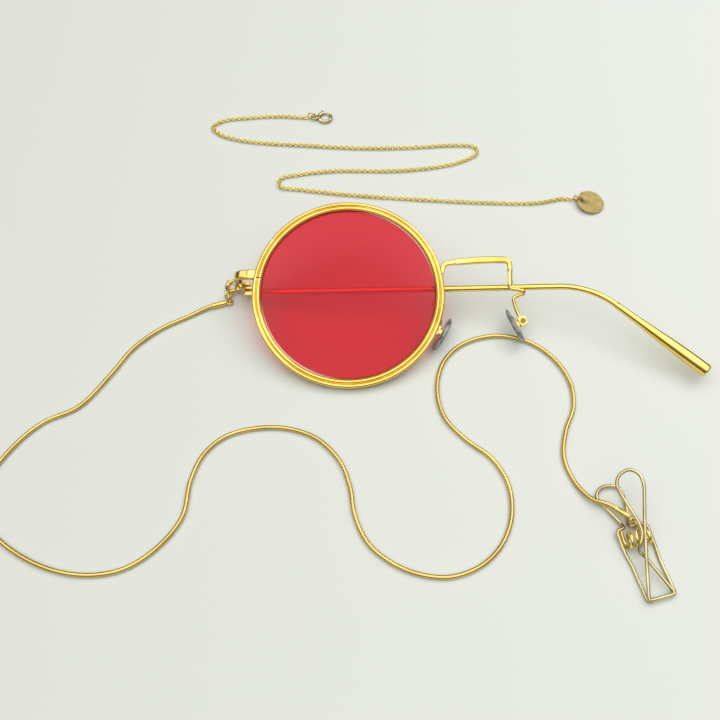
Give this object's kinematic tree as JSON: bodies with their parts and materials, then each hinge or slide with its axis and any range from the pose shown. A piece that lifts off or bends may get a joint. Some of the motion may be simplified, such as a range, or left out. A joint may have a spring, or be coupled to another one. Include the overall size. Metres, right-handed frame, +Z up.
{
  "type": "folding monocle with temple and neck chain",
  "caption": "Round tinted lens in a metal rim, folded on a single hooked temple, with bridge, nose pads, snake chain ending in a wire clip, and a spare link chain with a tag.",
  "frame": {"origin": "middle of the base box of the spectacle part (front and folded temple), on the table", "axes": "+Z up from the table, +X from the hinge along the folded temple towards its tip, +Y away from the lower rim edge"},
  "size_m": [0.1794, 0.155, 0.0186],
  "materials": {
    "rim": "polished gold plating",
    "lens": "transparent red tint, polished",
    "closing_block": "polished gold plating",
    "rim_screw": "polished gold plating",
    "end_piece": "polished gold plating",
    "front_hinge": "polished gold plating",
    "hinge_screw": "polished gold plating",
    "bridge": "polished gold plating",
    "rim_stub": "polished gold plating",
    "pad_arm_left": "polished gold plating",
    "pad_arm_right": "polished gold plating",
    "pad_box_left": "polished gold plating",
    "pad_box_right": "polished gold plating",
    "pad_screws": "polished gold plating",
    "nose_pad_left": "translucent grey silicone",
    "nose_pad_right": "translucent grey silicone",
    "pad_insert_left": "polished gold plating",
    "pad_insert_right": "polished gold plating",
    "temple_hinge": "polished gold plating",
    "temple_bar": "polished gold plating",
    "temple_sleeve": "polished gold plating",
    "chain_eyelet": "polished gold plating",
    "clasp_ring": "polished gold plating",
    "clasp_bolt": "polished gold plating",
    "clasp_link": "polished gold plating",
    "snake_cap_top": "polished gold plating",
    "snake_chain": "gold plated snake chain with fine oblique scales",
    "snake_cap_clip": "polished gold plating",
    "clip_link": "polished gold plating",
    "clip_frame": "pale gold plated wire",
    "clip_coil": "pale gold plated wire",
    "clip_lever": "pale gold plated wire",
    "spare_clasp_ring": "polished gold plating",
    "spare_clasp_bolt": "polished gold plating",
    "spare_link": "polished gold plating",
    "fine_chain": "gold plated fine link chain",
    "tag_ring": "polished gold plating",
    "tag": "satin gold plated disc"
  },
  "bodies": {
    "temple": {"temple_hinge": "temple_hinge", "temple_bar": "temple_bar", "temple_sleeve": "temple_sleeve", "chain_eyelet": "chain_eyelet", "clasp_ring": "clasp_ring", "clasp_link": "clasp_link", "snake_cap_top": "snake_cap_top", "snake_chain": "snake_chain", "snake_cap_clip": "snake_cap_clip", "clip_link": "clip_link", "clip_frame": "clip_frame", "clip_coil": "clip_coil", "spare_clasp_ring": "spare_clasp_ring", "spare_link": "spare_link", "fine_chain": "fine_chain", "tag_ring": "tag_ring"},
    "front": {"rim": "rim", "lens": "lens", "closing_block": "closing_block", "rim_screw": "rim_screw", "end_piece": "end_piece", "front_hinge": "front_hinge", "hinge_screw": "hinge_screw", "bridge": "bridge", "rim_stub": "rim_stub", "pad_arm_left": "pad_arm_left", "pad_arm_right": "pad_arm_right", "pad_box_left": "pad_box_left", "pad_box_right": "pad_box_right", "pad_screws": "pad_screws"},
    "pad_left": {"nose_pad_left": "nose_pad_left", "pad_insert_left": "pad_insert_left"},
    "pad_right": {"nose_pad_right": "nose_pad_right", "pad_insert_right": "pad_insert_right"},
    "clasp_slider": {"clasp_bolt": "clasp_bolt"},
    "spare_slider": {"spare_clasp_bolt": "spare_clasp_bolt"},
    "clip_upper": {"clip_lever": "clip_lever"},
    "tag": {"tag": "tag"}
  },
  "joints": [
    {"name": "front_open", "type": "hinge", "parent": "temple", "child": "front", "pos_m": [-0.05993, 0.00543, 0.00347], "axis": [0, -0.9426, -0.3338], "range_deg": [0, 94]},
    {"name": "pad_left_rock", "type": "hinge", "parent": "front", "child": "pad_left", "pos_m": [-0.00782, -0.0076, 0.00411], "axis": [0, -0.3338, 0.9426], "range_deg": [-10, 10]},
    {"name": "pad_right_rock", "type": "hinge", "parent": "front", "child": "pad_right", "pos_m": [0.01478, -0.00555, 0.00483], "axis": [0, -0.3338, 0.9426], "range_deg": [-10, 10]},
    {"name": "clasp_slide", "type": "hinge", "parent": "temple", "child": "clasp_slider", "pos_m": [-0.0619, 0.00877, 0.00109], "axis": [-0.265, 0.076, 0.9613], "range_deg": [0, 40], "stiffness_Nm_per_rad": 0.002, "springref_deg": -20.05},
    {"name": "spare_clasp_slide", "type": "hinge", "parent": "temple", "child": "spare_slider", "pos_m": [-0.0383, 0.07337, 0.00065], "axis": [0.0488, -0.0009, 0.9988], "range_deg": [0, 40], "stiffness_Nm_per_rad": 0.002, "springref_deg": -20.05},
    {"name": "clip_open", "type": "hinge", "parent": "temple", "child": "clip_upper", "pos_m": [0.0364, -0.06393, 0.00218], "axis": [-0.9646, -0.2639, 0], "range_deg": [0, 18], "stiffness_Nm_per_rad": 0.06, "springref_deg": -11.46},
    {"name": "tag_lift", "type": "hinge", "parent": "temple", "child": "tag", "pos_m": [0.03522, 0.03981, 0.00135], "axis": [-0.2656, -0.9641, 0], "range_deg": [0, 75]}
  ]
}
